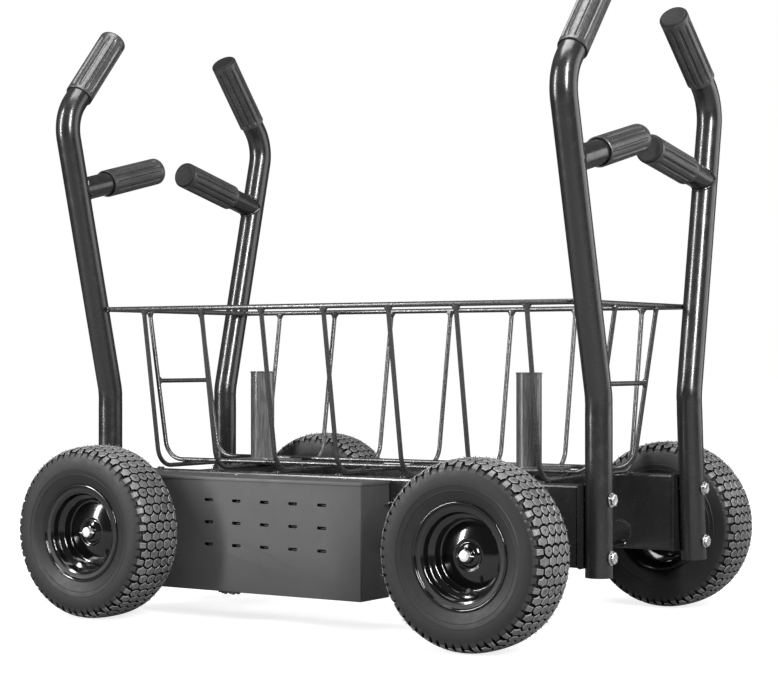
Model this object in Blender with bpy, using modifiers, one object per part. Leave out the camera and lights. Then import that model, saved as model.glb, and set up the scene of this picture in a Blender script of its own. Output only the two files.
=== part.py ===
"""Four-wheel log cart: steel chassis, wire basket and four uprights with hand grips.

Metres, +Z up. +X is the front, +Y the left side, and the origin is on the ground
under the middle of the cart.
"""
import math

import bmesh
import bpy
from mathutils import Matrix, Vector

# Running gear
TYRE_DIAMETER = 0.330
TYRE_WIDTH = 0.115
WHEELBASE = 0.842
WHEEL_TRACK = 0.768
WHEEL_SIDES = 26
AXLE_RADIUS = 0.0095
AXLE_HALF_LENGTH = 0.4178
AXLE_TUBE_RADIUS = 0.020
AXLE_TUBE_HALF_LENGTH = 0.3325
AXLE_TUBE_SIDES = 16
COTTER_SETBACK = 0.0045
COTTER_RADIUS = 0.0014

# Chassis
RAIL_WIDTH = 0.040
RAIL_HEIGHT = 0.144
RAIL_HALF_LENGTH = 0.5281
RAIL_TOP = 0.2765
RAIL_Y = 0.190
RAIL_WALL = 0.003
RAIL_CORNER = 0.004
END_PLATE_THICKNESS = 0.005
END_PLATE_WIDTH = 0.048
CROSS_MEMBER_WIDTH = 0.060
CROSS_MEMBER_HEIGHT = 0.030

# Uprights, their grips and bolts
TUBE_RADIUS = 0.02415
TUBE_WALL = 0.0027
STUB_RADIUS = 0.0228
TUBE_SIDES_RESOLUTION = 4
UPRIGHT_X = 0.558
UPRIGHT_FOOT = 0.1165
KINK_HEIGHT = 0.430
APEX_HEIGHT = 0.976
SPLAY = math.radians(14.0)
TOP_GRIP_LEAN = math.radians(40.0)
KINK_RADIUS = 0.10
APEX_RADIUS = 0.085
MID_GRIP_ROOT_HEIGHT = 0.8326
MID_GRIP_RISE = math.radians(13.5)
GRIP_RADIUS = 0.0275
GRIP_LENGTH = 0.163
GRIP_END_WALL = 0.005
TOP_GRIP_START = 0.062
MID_GRIP_START = 0.088
BOLT_HEIGHTS = (0.1515, 0.2520)

# One upright stands askew with a tighter top bend, and one grip isn't pushed fully home
INWARD_TILT = {"front_left": math.radians(3.8)}
TILT_PIVOT_HEIGHT = 0.296
EXTRA_LEAN = {"front_left": math.radians(6.0)}
EXTRA_APEX_HEIGHT = {"front_left": 0.008}
GRIP_SHIFT = {"mid_grip_front_right": 0.014}

BOLT_RADIUS = 0.006
BOLT_HOLE_RADIUS = 0.0066
BOLT_HEAD_RADIUS = 0.011
BOLT_HEAD_HEIGHT = 0.0075
BOLT_LENGTH = 0.0645

# Basket
RIM_ROD_RADIUS = 0.0050
RIM_HEIGHT = 0.596
RIM_HALF_LENGTH = 0.5287
RIM_HALF_WIDTH = 0.2286
RIM_CORNER = 0.010
WIRE_RADIUS = 0.0045
WIRE_TOP = 0.5897
WIRE_BEND = 0.042
LOOP_SPACING = 0.1455
LOOP_COUNT = 7
LOOP_BOTTOM_HALF_WIDTH = 0.180
LONG_LOOP_Y = 0.0845
LONG_LOOP_SKEW = 0.0155
LONG_LOOP_BOTTOM_HALF_LENGTH = 0.482
END_BAR_HEIGHT = 0.4512

# Posts inside the basket
POST_X = 0.313
POST_TOP = 0.471
POST_PLATE_SIZE = 0.120
POST_PLATE_THICKNESS = 0.005

# Vented box on the right-hand rail
BOX_REAR = -0.470
BOX_FRONT = 0.1395
BOX_DEPTH = 0.0977
BOX_BOTTOM = 0.057
BOX_TOP = 0.2730
BOX_SHEET = 0.0015
LID_SKIRT = 0.006
VENT_COLUMNS = 5
VENT_ROWS = 3
VENT_FIRST = (-0.211, 0.145)
VENT_PITCH = (0.0655, 0.042)
VENT_SIZE = (0.021, 0.006)

GAP = 0.0003
MERGE = 0.0001

RAIL_BOTTOM = RAIL_TOP - RAIL_HEIGHT
RAIL_INNER = RAIL_Y - RAIL_WIDTH / 2
RAIL_OUTER = RAIL_Y + RAIL_WIDTH / 2
RAIL_MIDDLE = RAIL_TOP - RAIL_HEIGHT / 2
AXLE_HEIGHT = TYRE_DIAMETER / 2
WHEEL_X = WHEELBASE / 2
WHEEL_Y = WHEEL_TRACK / 2
LOOP_BOTTOM_HEIGHT = RAIL_TOP + GAP + WIRE_RADIUS
LONG_LOOP_BOTTOM_HEIGHT = LOOP_BOTTOM_HEIGHT + 2 * WIRE_RADIUS + GAP
TUBE_SIDES = 4 + 2 * TUBE_SIDES_RESOLUTION

CORNERS = {
    "front_left": (1, 1),
    "front_right": (1, -1),
    "rear_left": (-1, 1),
    "rear_right": (-1, -1),
}


# Scene set-up and small helpers

def clear_scene():
    for obj in list(bpy.data.objects):
        bpy.data.objects.remove(obj, do_unlink=True)


def new_collection(name):
    collection = bpy.data.collections.new(name)
    bpy.context.scene.collection.children.link(collection)
    return collection


def make_material(name, color, roughness, metallic):
    material = bpy.data.materials.new(name)
    material.use_nodes = True
    shader = material.node_tree.nodes["Principled BSDF"]
    shader.inputs["Base Color"].default_value = (*color, 1.0)
    shader.inputs["Roughness"].default_value = roughness
    shader.inputs["Metallic"].default_value = metallic
    return material


def add_object(name, data, material, location=(0, 0, 0), rotation=(0, 0, 0), parent=None):
    obj = bpy.data.objects.new(name, data)
    obj.location = location
    obj.rotation_euler = rotation
    obj.parent = parent
    data.materials.clear()
    data.materials.append(material)
    PARTS.objects.link(obj)
    return obj


def add_cutter(name, mesh, location=(0, 0, 0), rotation=(0, 0, 0)):
    obj = bpy.data.objects.new(name, mesh)
    obj.location = location
    obj.rotation_euler = rotation
    obj.hide_render = True
    obj.display_type = "WIRE"
    CUTTERS.objects.link(obj)
    return obj


def add_boolean(obj, other, operation="DIFFERENCE"):
    modifier = obj.modifiers.new(operation.title(), "BOOLEAN")
    modifier.operation = operation
    modifier.solver = "EXACT"
    modifier.object = other


def shade(mesh):
    mesh.shade_smooth()
    mesh.set_sharp_from_angle(angle=math.radians(35))


def cylinder_mesh(name, radius, depth, sides, spin=0.0):
    """A cylinder centred on its own origin, along Z, its facets turned by spin."""
    bm = bmesh.new()
    bmesh.ops.create_cone(bm, cap_ends=True, segments=sides, matrix=Matrix.Rotation(spin, 4, "Z"),
                          radius1=radius, radius2=radius, depth=depth)
    mesh = bpy.data.meshes.new(name)
    bm.to_mesh(mesh)
    bm.free()
    shade(mesh)
    return mesh


def box_mesh(name, size, open_sides=()):
    """A box centred on its own origin; open_sides are outward directions to leave open."""
    bm = bmesh.new()
    bmesh.ops.create_cube(bm, size=1.0)
    bmesh.ops.scale(bm, vec=size, verts=bm.verts)
    opened = [face for face in bm.faces
              if any(face.normal.dot(Vector(side)) > 0.9 for side in open_sides)]
    bmesh.ops.delete(bm, geom=opened, context="FACES_ONLY")
    mesh = bpy.data.meshes.new(name)
    bm.to_mesh(mesh)
    bm.free()
    return mesh


def turned_mesh(name, profile):
    """A closed outline of (radius, height) points, to be revolved about Z."""
    points = [(radius, 0, height) for radius, height in profile]
    edges = [(i, (i + 1) % len(points)) for i in range(len(points))]
    mesh = bpy.data.meshes.new(name)
    mesh.from_pydata(points, edges, [])
    return mesh


def add_screw(obj, sides):
    screw = obj.modifiers.new("Screw", "SCREW")
    screw.steps = sides
    screw.render_steps = sides
    screw.use_merge_vertices = True
    screw.merge_threshold = MERGE
    screw.use_smooth_shade = True


def rounded_path(corners, radius, steps):
    """The corners joined by straight runs, with each inner corner turned as an arc."""
    corners = [Vector(corner) for corner in corners]
    path = [corners[0]]
    for before, corner, after in zip(corners, corners[1:], corners[2:]):
        arriving = (corner - before).normalized()
        leaving = (after - corner).normalized()
        turn = arriving.angle(leaving)
        start = corner - arriving * radius * math.tan(turn / 2)
        sideways = (leaving - arriving * arriving.dot(leaving)).normalized()
        for step in range(steps + 1):
            angle = turn * step / steps
            path.append(start + arriving * radius * math.sin(angle)
                        + sideways * radius * (1 - math.cos(angle)))
    path.append(corners[-1])
    return path


def rod_curve(name, path, radius, resolution=2, cyclic=False):
    curve = bpy.data.curves.new(name, "CURVE")
    curve.dimensions = "3D"
    curve.bevel_depth = radius
    curve.bevel_resolution = resolution
    curve.use_fill_caps = not cyclic
    spline = curve.splines.new("POLY")
    spline.points.add(len(path) - 1)
    for point, place in zip(spline.points, path):
        point.co = (*place, 1.0)
    spline.use_cyclic_u = cyclic
    return curve


def evaluated_mesh(obj, name):
    """The object's mesh with its modifiers applied and its loose caps welded."""
    bpy.context.view_layer.update()
    evaluated = obj.evaluated_get(bpy.context.evaluated_depsgraph_get())
    mesh = bpy.data.meshes.new_from_object(evaluated)
    mesh.name = name
    bm = bmesh.new()
    bm.from_mesh(mesh)
    bmesh.ops.remove_doubles(bm, verts=bm.verts, dist=MERGE / 10)
    bm.to_mesh(mesh)
    bm.free()
    return mesh


def cutter_rod(name, path, radius, resolution):
    """A bent rod as a mesh, for joining or cutting."""
    rod = bpy.data.objects.new(name, rod_curve(name, path, radius, resolution))
    CUTTERS.objects.link(rod)
    mesh = evaluated_mesh(rod, name)
    bpy.data.objects.remove(rod, do_unlink=True)
    return add_cutter(name, mesh)


# Wheels

def tyre_profile():
    """Outer carcass from the outboard bead to the inboard bead, then back inside it."""
    crown = TYRE_DIAMETER / 2 / math.cos(math.pi / WHEEL_SIDES)
    half = TYRE_WIDTH / 2
    outer = [(0.0772, 0.0458), (0.0935, 0.0466), (0.128, half), (0.155, half - 0.006),
             (crown, half - 0.020)]
    inner = [(0.0772, 0.0340), (0.130, half - 0.010), (0.154, 0.034)]
    outer_side = outer + [(radius, -height) for radius, height in reversed(outer)]
    inner_side = [(radius, -height) for radius, height in inner] + list(reversed(inner))
    return outer_side + inner_side


def rim_profile():
    """A pressed rim with its disc and hub tube, outboard side up."""
    tyre_side = [(0.0925, 0.0500), (0.0925, 0.0476), (0.0765, 0.0462), (0.0650, 0.0200)]
    tyre_side += [(radius, -height) for radius, height in reversed(tyre_side)]
    back = [(0.0738, -0.0480), (0.0622, -0.0215), (0.0622, 0.0040), (0.0135, 0.0125),
            (0.0135, -0.0490), (0.0099, -0.0490)]
    face = [(0.0099, 0.0260), (0.0125, 0.0260), (0.0125, 0.0160), (0.0622, 0.0085),
            (0.0622, 0.0215), (0.0738, 0.0480)]
    return tyre_side + back + face


def build_wheels():
    tyre = turned_mesh("tyre", tyre_profile())
    rim = turned_mesh("wheel_rim", rim_profile())
    for corner, (front, left) in CORNERS.items():
        hub = bpy.data.objects.new("hub_" + corner, None)
        hub.location = (front * WHEEL_X, left * WHEEL_Y, AXLE_HEIGHT)
        hub.rotation_euler = (-left * math.pi / 2, 0, 0)
        PARTS.objects.link(hub)
        add_screw(add_object("tyre_" + corner, tyre, TYRE_RUBBER, parent=hub), WHEEL_SIDES)
        add_screw(add_object("wheel_rim_" + corner, rim, GLOSS_BLACK, parent=hub), WHEEL_SIDES)


def build_axles():
    along_y = (math.pi / 2, 0, 0)
    shaft = cylinder_mesh("axle_shaft", AXLE_RADIUS, 2 * AXLE_HALF_LENGTH, 16)
    sleeve = turned_mesh("axle_tube", [(AXLE_TUBE_RADIUS, AXLE_TUBE_HALF_LENGTH),
                                       (AXLE_TUBE_RADIUS, -AXLE_TUBE_HALF_LENGTH),
                                       (AXLE_RADIUS + 0.0006, -AXLE_TUBE_HALF_LENGTH),
                                       (AXLE_RADIUS + 0.0006, AXLE_TUBE_HALF_LENGTH)])
    pin_hole = cylinder_mesh("cotter_hole", COTTER_RADIUS + GAP, 0.03, 8)
    bend = AXLE_RADIUS + 0.0035
    pin = rod_curve("cotter_pin", [(-bend - 0.003, 0, -0.003), (-bend, 0, 0),
                                   (bend, 0, 0), (bend + 0.003, 0, 0.003)], COTTER_RADIUS)
    for name, front in (("front", 1), ("rear", -1)):
        place = (front * WHEEL_X, 0, AXLE_HEIGHT)
        axle = add_object("axle_shaft_" + name, shaft, BARE_STEEL, place, along_y)
        add_screw(add_object("axle_tube_" + name, sleeve, FRAME_PAINT, place, along_y),
                  AXLE_TUBE_SIDES)
        for side, left in (("left", 1), ("right", -1)):
            pin_place = (place[0], left * (AXLE_HALF_LENGTH - COTTER_SETBACK), place[2])
            hole = add_cutter("cotter_hole_%s_%s" % (name, side), pin_hole, pin_place,
                              (0, math.pi / 2, 0))
            add_boolean(axle, hole)
            add_object("cotter_pin_%s_%s" % (name, side), pin, ZINC, pin_place)


# Chassis

def build_chassis():
    rail = box_mesh("rail", (2 * RAIL_HALF_LENGTH, RAIL_WIDTH, RAIL_HEIGHT),
                    open_sides=[(1, 0, 0), (-1, 0, 0)])
    axle_hole = cylinder_mesh("axle_tube_hole", AXLE_TUBE_RADIUS + 0.0004, 0.8,
                              AXLE_TUBE_SIDES)
    for front in (1, -1):
        place = (front * WHEEL_X, 0, AXLE_HEIGHT)
        AXLE_HOLES.append(add_cutter("axle_tube_hole", axle_hole, place, (math.pi / 2, 0, 0)))
    for side, left in (("left", 1), ("right", -1)):
        obj = add_object("rail_" + side, rail, FRAME_PAINT, (0, left * RAIL_Y, RAIL_MIDDLE))
        bevel = obj.modifiers.new("Corners", "BEVEL")
        bevel.width = RAIL_CORNER
        bevel.segments = 2
        wall = obj.modifiers.new("Wall", "SOLIDIFY")
        wall.thickness = RAIL_WALL
        wall.offset = -1
        for hole in AXLE_HOLES:
            add_boolean(obj, hole)

    member = box_mesh("cross_member", (CROSS_MEMBER_WIDTH, 2 * (RAIL_INNER - GAP),
                                       CROSS_MEMBER_HEIGHT))
    for name, front in (("front", 1), ("rear", -1)):
        add_object("cross_member_" + name, member, FRAME_PAINT,
                   (front * POST_X, 0, RAIL_TOP - GAP - CROSS_MEMBER_HEIGHT / 2))


def build_end_plates_and_bolts():
    plate_x = RAIL_HALF_LENGTH + GAP + END_PLATE_THICKNESS / 2
    plate = box_mesh("end_plate", (END_PLATE_THICKNESS, END_PLATE_WIDTH, RAIL_HEIGHT))
    bolt = hex_bolt_mesh()
    hole = cylinder_mesh("bolt_hole", BOLT_HOLE_RADIUS, 0.10, 12, spin=math.radians(8))
    head_x = UPRIGHT_X + TUBE_RADIUS + GAP
    for corner, (front, left) in CORNERS.items():
        upright = bpy.data.objects["upright_" + corner]
        end_plate = add_object("end_plate_" + corner, plate, FRAME_PAINT,
                               (front * plate_x, left * RAIL_Y, RAIL_MIDDLE))
        for level, height in zip(("lower", "upper"), BOLT_HEIGHTS):
            outward = (0, front * math.pi / 2, 0)
            centre = tilt_of(corner) @ Vector((front * UPRIGHT_X, left * RAIL_Y, height))
            cutter = add_cutter("bolt_hole_%s_%s" % (corner, level), hole, centre, outward)
            add_boolean(upright, cutter)
            add_boolean(end_plate, cutter)
            add_object("bolt_%s_%s" % (corner, level), bolt, ZINC,
                       (front * head_x, centre.y, centre.z), outward)


def hex_bolt_mesh():
    """A hex head above z = 0 on a round shank below it."""
    head = add_cutter("bolt_head", cylinder_mesh("bolt_head", BOLT_HEAD_RADIUS,
                                                 BOLT_HEAD_HEIGHT, 6))
    head.location.z = BOLT_HEAD_HEIGHT / 2
    bury = BOLT_HEAD_HEIGHT / 2
    shank = add_cutter("bolt_shank", cylinder_mesh("bolt_shank", BOLT_RADIUS,
                                                   BOLT_LENGTH + bury, 12,
                                                   spin=math.radians(8)))
    shank.location.z = (bury - BOLT_LENGTH) / 2
    add_boolean(shank, head, "UNION")
    mesh = evaluated_mesh(shank, "hex_bolt")
    mesh.transform(Matrix.Translation(shank.location))
    bpy.data.objects.remove(shank, do_unlink=True)
    bpy.data.objects.remove(head, do_unlink=True)
    return mesh


# Uprights and grips, drawn for the left side in the plane x = 0

def upright_corners(apex_height):
    apex_y = RAIL_Y + (apex_height - KINK_HEIGHT) * math.tan(SPLAY)
    return [Vector((0, RAIL_Y, UPRIGHT_FOOT)), Vector((0, RAIL_Y, KINK_HEIGHT)),
            Vector((0, apex_y, apex_height))]


def tilt_of(corner):
    front, left = CORNERS[corner]
    pivot = Matrix.Translation((front * UPRIGHT_X, left * RAIL_Y, TILT_PIVOT_HEIGHT))
    tilt = Matrix.Rotation(left * INWARD_TILT.get(corner, 0.0), 4, "X")
    return pivot @ tilt @ pivot.inverted()


def top_bend_of(corner):
    """The top bend's lean and height, which differ a little on one upright."""
    return (TOP_GRIP_LEAN + EXTRA_LEAN.get(corner, 0.0),
            APEX_HEIGHT + EXTRA_APEX_HEIGHT.get(corner, 0.0))


def top_grip_direction(lean):
    return Vector((0, -math.sin(lean), math.cos(lean)))


def mid_grip_direction():
    return Vector((0, -math.cos(MID_GRIP_RISE), math.sin(MID_GRIP_RISE)))


def mid_grip_root():
    y = RAIL_Y + (MID_GRIP_ROOT_HEIGHT - KINK_HEIGHT) * math.tan(SPLAY)
    return Vector((0, y, MID_GRIP_ROOT_HEIGHT))


def upright_mesh(lean, apex_height):
    """The bent tube with the mid grip's stub welded to it, bored out along its length."""
    foot, kink, apex = upright_corners(apex_height)
    up = Vector((0, 0, 1))
    top = top_grip_direction(lean)
    tube_end = apex + top * (TOP_GRIP_START + GRIP_LENGTH - GRIP_END_WALL - GAP)
    stub_length = MID_GRIP_START + GRIP_LENGTH - GRIP_END_WALL - GAP
    stub_end = mid_grip_root() + mid_grip_direction() * stub_length

    def bent(start, end):
        lower = rounded_path([start, kink, apex], KINK_RADIUS, 2)
        upper = rounded_path([kink, apex, end], APEX_RADIUS, 5)
        return lower[:-1] + upper[1:]

    tube = cutter_rod("upright_tube", bent(foot, tube_end), TUBE_RADIUS, TUBE_SIDES_RESOLUTION)
    stub = cutter_rod("upright_stub", [mid_grip_root(), stub_end], STUB_RADIUS,
                      TUBE_SIDES_RESOLUTION)
    bore = cutter_rod("upright_bore", bent(foot - up * 0.01, tube_end + top * 0.01),
                      TUBE_RADIUS - TUBE_WALL, TUBE_SIDES_RESOLUTION)
    add_boolean(tube, stub, "UNION")
    add_boolean(tube, bore)
    mesh = evaluated_mesh(tube, "upright")
    shade(mesh)
    for helper in (tube, stub, bore):
        bpy.data.objects.remove(helper, do_unlink=True)
    return mesh


def grip_profile():
    """A sleeve closed at its top end, open at z = 0."""
    bore = TUBE_RADIUS + GAP
    return [(0.0, GRIP_LENGTH), (GRIP_RADIUS - 0.004, GRIP_LENGTH),
            (GRIP_RADIUS, GRIP_LENGTH - 0.004), (GRIP_RADIUS, 0.0), (bore, 0.0),
            (bore, GRIP_LENGTH - GRIP_END_WALL), (0.0, GRIP_LENGTH - GRIP_END_WALL)]


def build_uprights():
    meshes = {bend: upright_mesh(*bend) for bend in sorted(set(map(top_bend_of, CORNERS)))}
    grip = bpy.data.meshes.new("grip")
    points = grip_profile()
    grip.from_pydata([(radius, 0, height) for radius, height in points],
                     [(i, i + 1) for i in range(len(points) - 1)], [])
    for corner, (front, left) in CORNERS.items():
        lean, apex_height = bend = top_bend_of(corner)
        stand = bpy.data.objects.new("stand_" + corner, None)
        PARTS.objects.link(stand)
        facing = Matrix.Rotation(0 if left > 0 else math.pi, 4, "Z")
        stand.matrix_world = tilt_of(corner) @ Matrix.Translation((front * UPRIGHT_X, 0, 0)) @ facing
        add_object("upright_" + corner, meshes[bend].copy(), FRAME_PAINT, parent=stand)
        apex = upright_corners(apex_height)[-1]
        grips = (("top_grip_", apex, top_grip_direction(lean), TOP_GRIP_START),
                 ("mid_grip_", mid_grip_root(), mid_grip_direction(), MID_GRIP_START))
        for name, root, direction, start in grips:
            turn = direction.to_track_quat("Z", "X").to_euler()
            reach = start + GRIP_SHIFT.get(name + corner, 0.0)
            obj = add_object(name + corner, grip, GRIP_RUBBER, root + direction * reach,
                             turn, stand)
            add_screw(obj, TUBE_SIDES)


# Basket

def build_basket():
    half_length, half_width = RIM_HALF_LENGTH, RIM_HALF_WIDTH
    start = (0, -half_width, RIM_HEIGHT)
    outline = [start, (half_length, -half_width, RIM_HEIGHT), (half_length, half_width, RIM_HEIGHT),
               (-half_length, half_width, RIM_HEIGHT), (-half_length, -half_width, RIM_HEIGHT), start]
    ring = rounded_path(outline, RIM_CORNER, 3)[:-1]
    add_object("basket_rim", rod_curve("basket_rim", ring, RIM_ROD_RADIUS, cyclic=True), WIRE_PAINT)

    for index in range(LOOP_COUNT):
        x = (index - (LOOP_COUNT - 1) / 2) * LOOP_SPACING
        path = rounded_path([(x, -RIM_HALF_WIDTH, WIRE_TOP),
                             (x, -LOOP_BOTTOM_HALF_WIDTH, LOOP_BOTTOM_HEIGHT),
                             (x, LOOP_BOTTOM_HALF_WIDTH, LOOP_BOTTOM_HEIGHT),
                             (x, RIM_HALF_WIDTH, WIRE_TOP)], WIRE_BEND, 4)
        name = "basket_loop_%d" % (index + 1)
        add_object(name, rod_curve(name, path, WIRE_RADIUS), WIRE_PAINT)

    # The long wires stand a little askew: both lie further to the left at the front end
    skew = LONG_LOOP_SKEW / RIM_HALF_LENGTH
    for side, left in (("left", 1), ("right", -1)):
        corners = [(-RIM_HALF_LENGTH, WIRE_TOP),
                   (-LONG_LOOP_BOTTOM_HALF_LENGTH, LONG_LOOP_BOTTOM_HEIGHT),
                   (LONG_LOOP_BOTTOM_HALF_LENGTH, LONG_LOOP_BOTTOM_HEIGHT),
                   (RIM_HALF_LENGTH, WIRE_TOP)]
        path = rounded_path([(x, left * LONG_LOOP_Y + skew * x, z) for x, z in corners], WIRE_BEND, 4)
        name = "basket_runner_" + side
        add_object(name, rod_curve(name, path, WIRE_RADIUS), WIRE_PAINT)

    drop = (WIRE_TOP - END_BAR_HEIGHT) / (WIRE_TOP - LONG_LOOP_BOTTOM_HEIGHT)
    bar_x = RIM_HALF_LENGTH - drop * (RIM_HALF_LENGTH - LONG_LOOP_BOTTOM_HALF_LENGTH)
    reach = LONG_LOOP_Y - WIRE_RADIUS - GAP
    bar = cylinder_mesh("basket_end_bar", WIRE_RADIUS, 2 * reach, 12)
    for name, front in (("front", 1), ("rear", -1)):
        add_object("basket_end_bar_" + name, bar, WIRE_PAINT,
                   (front * bar_x, front * skew * bar_x, END_BAR_HEIGHT), (math.pi / 2, 0, 0))


def build_posts():
    """Each post is a closed-topped tube on a base plate, bored from below."""
    plate_z = LOOP_BOTTOM_HEIGHT + WIRE_RADIUS + GAP + POST_PLATE_THICKNESS / 2
    height = POST_TOP - plate_z
    plate = box_mesh("post_plate", (POST_PLATE_SIZE, POST_PLATE_SIZE, POST_PLATE_THICKNESS))
    tube = cylinder_mesh("post_tube", TUBE_RADIUS, height, TUBE_SIDES)
    bore = cylinder_mesh("post_bore", TUBE_RADIUS - TUBE_WALL, height, TUBE_SIDES)
    for name, front in (("front", 1), ("rear", -1)):
        x = front * POST_X
        tube_place = (x, 0, plate_z + height / 2)
        post = add_object("post_" + name, plate.copy(), FRAME_PAINT, (x, 0, plate_z))
        add_boolean(post, add_cutter("post_tube_" + name, tube, tube_place), "UNION")
        bore_place = (x, 0, plate_z + height / 2 - POST_PLATE_THICKNESS)
        add_boolean(post, add_cutter("post_bore_" + name, bore, bore_place))


# Vented box

def build_box():
    lid_size = Vector((BOX_FRONT - BOX_REAR, BOX_DEPTH, LID_SKIRT))
    centre = Vector(((BOX_FRONT + BOX_REAR) / 2, -(RAIL_OUTER + GAP + BOX_DEPTH / 2), 0))
    lid = add_object("box_lid", box_mesh("box_lid", lid_size, open_sides=[(0, 0, -1)]), BOX_PAINT,
                     (centre.x, centre.y, BOX_TOP - LID_SKIRT / 2))
    body_inset = 2 * (BOX_SHEET + GAP)
    body_top = BOX_TOP - BOX_SHEET - GAP
    body_size = (lid_size.x - body_inset, lid_size.y - body_inset, body_top - BOX_BOTTOM)
    body = add_object("box_body", box_mesh("box_body", body_size, open_sides=[(0, 0, 1)]),
                      BOX_PAINT, (centre.x, centre.y, (body_top + BOX_BOTTOM) / 2))
    for shell in (lid, body):
        sheet = shell.modifiers.new("Sheet", "SOLIDIFY")
        sheet.thickness = BOX_SHEET
        sheet.offset = -1
    add_boolean(body, AXLE_HOLES[1])
    add_boolean(body, vent_cutter(centre.y - BOX_DEPTH / 2))


def vent_cutter(front_y):
    bm = bmesh.new()
    for column in range(VENT_COLUMNS):
        for row in range(VENT_ROWS):
            place = Vector((VENT_FIRST[0] + column * VENT_PITCH[0], front_y,
                            VENT_FIRST[1] + row * VENT_PITCH[1]))
            slot = Matrix.LocRotScale(place, None, Vector((VENT_SIZE[0], 0.012, VENT_SIZE[1])))
            bmesh.ops.create_cube(bm, size=1.0, matrix=slot)
    mesh = bpy.data.meshes.new("vent_slots")
    bm.to_mesh(mesh)
    bm.free()
    return add_cutter("vent_slots", mesh)


clear_scene()
PARTS = new_collection("log_cart")
CUTTERS = new_collection("cutters")
AXLE_HOLES = []

FRAME_PAINT = make_material("frame_paint", (0.045, 0.045, 0.048), 0.38, 0.35)
WIRE_PAINT = make_material("wire_paint", (0.055, 0.055, 0.058), 0.42, 0.35)
BOX_PAINT = make_material("box_paint", (0.060, 0.060, 0.062), 0.50, 0.20)
GLOSS_BLACK = make_material("gloss_black", (0.006, 0.006, 0.007), 0.12, 0.10)
TYRE_RUBBER = make_material("tyre_rubber", (0.030, 0.030, 0.031), 0.75, 0.0)
GRIP_RUBBER = make_material("grip_rubber", (0.090, 0.090, 0.092), 0.55, 0.0)
ZINC = make_material("zinc", (0.62, 0.62, 0.60), 0.30, 1.0)
BARE_STEEL = make_material("bare_steel", (0.70, 0.70, 0.70), 0.35, 1.0)

build_wheels()
build_axles()
build_chassis()
build_uprights()
build_end_plates_and_bolts()
build_basket()
build_posts()
build_box()
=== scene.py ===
"""The log cart's looks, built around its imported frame. Metres, +Z up, +X front, +Y left."""
import math
import random

import bmesh
import bpy
from mathutils import Matrix, Quaternion, Vector


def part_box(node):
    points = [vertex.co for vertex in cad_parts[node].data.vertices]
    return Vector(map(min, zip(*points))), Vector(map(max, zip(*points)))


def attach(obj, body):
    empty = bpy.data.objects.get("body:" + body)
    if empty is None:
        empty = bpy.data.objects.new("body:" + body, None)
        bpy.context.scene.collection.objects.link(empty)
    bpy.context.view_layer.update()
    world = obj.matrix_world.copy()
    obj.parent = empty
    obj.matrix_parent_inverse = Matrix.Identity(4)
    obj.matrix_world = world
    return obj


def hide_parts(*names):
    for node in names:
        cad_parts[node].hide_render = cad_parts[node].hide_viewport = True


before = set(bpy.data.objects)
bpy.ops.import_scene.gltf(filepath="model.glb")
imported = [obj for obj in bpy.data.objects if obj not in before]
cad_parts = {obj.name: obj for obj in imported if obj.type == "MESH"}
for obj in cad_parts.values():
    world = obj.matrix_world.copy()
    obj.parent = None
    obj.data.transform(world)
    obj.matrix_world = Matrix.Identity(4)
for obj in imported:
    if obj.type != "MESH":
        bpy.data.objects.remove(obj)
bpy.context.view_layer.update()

X_AXIS = Vector((1, 0, 0))
Y_AXIS = Vector((0, 1, 0))
UP = Vector((0, 0, 1))
CHASSIS = "chassis"
CORNERS = {"front_left": (1, 1), "front_right": (1, -1), "rear_left": (-1, 1), "rear_right": (-1, -1)}
ENDS = {"front": 1, "rear": -1}
SIDES = {"left": 1, "right": -1}

# Camera: a long lens at the height of the basket, seeing the right side and the front end
CAMERA_PLACE = Vector((2.1641, -3.3082, 0.4980))
CAMERA_YAW = math.radians(33.22)
CAMERA_PITCH = math.radians(0.33)
CAMERA_LENS = 92.85
CAMERA_SENSOR = 36.0

# Wheel
WHEEL_RADIUS = 0.165
TREAD_DEPTH = 0.0068
TREAD_PITCHES = 60
WHEEL_SIDES = 120
LUG_END_RADIUS = 0.144
BLOCK_SPACING = 0.0213
GROOVE = 0.0034
SIPE = 0.0024
SHOULDER_RADIUS = 0.1535
# Material slots of the tyre. Besides the rubber's own colour, the tread slot carries dust and painted
# light, the lug and groove slots carry painted shade, and the edge slot carries a painted highlight.
SIDEWALL_INDEX, TREAD_DUST_AND_LIGHT_INDEX, LUG_SHADE_INDEX, GROOVE_SHADE_INDEX, EDGE_HIGHLIGHT_INDEX = range(5)
WHISKERS = 320
DISC_RADIUS = 0.0563
DISC_EDGE_HEIGHT = 0.0085
DISC_DOME = 0.0125
HUB_RADIUS = 0.0125
HUB_FACE = 0.0262
VALVE_RADIUS = 0.0680
VALVE_LEAN = math.radians(-22)
VALVE_TURNS = {"front_left": 0.20, "front_right": -0.275, "rear_left": -0.10, "rear_right": -0.45}

# Uprights and grips, which follow the CAD tubes
TUBE_RADIUS = 0.02415
TUBE_WALL = 0.0027
STUB_RADIUS = 0.0228
TUBE_IN_GRIP = 0.150
RAIL_Y = 0.190
KINK_HEIGHT = 0.430
APEX_HEIGHT = 0.976
SPLAY = math.radians(14.0)
TOP_GRIP_LEAN = math.radians(40.0)
KINK_RADIUS = 0.10
APEX_RADIUS = 0.085
MID_GRIP_ROOT_HEIGHT = 0.8326
MID_GRIP_RISE = math.radians(13.5)
GRIP_RADIUS = 0.0275
GRIP_LENGTH = 0.163
TOP_GRIP_START = 0.062
MID_GRIP_START = 0.088
GRIP_RIBS = 12
INWARD_TILT = {"front_left": math.radians(3.8)}
TILT_PIVOT_HEIGHT = 0.296
EXTRA_LEAN = {"front_left": math.radians(6.0)}
EXTRA_APEX_HEIGHT = {"front_left": 0.008}
GRIP_SHIFT = {"mid_grip_front_right": 0.014}
GROOVE_DEPTH = 0.105

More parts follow.
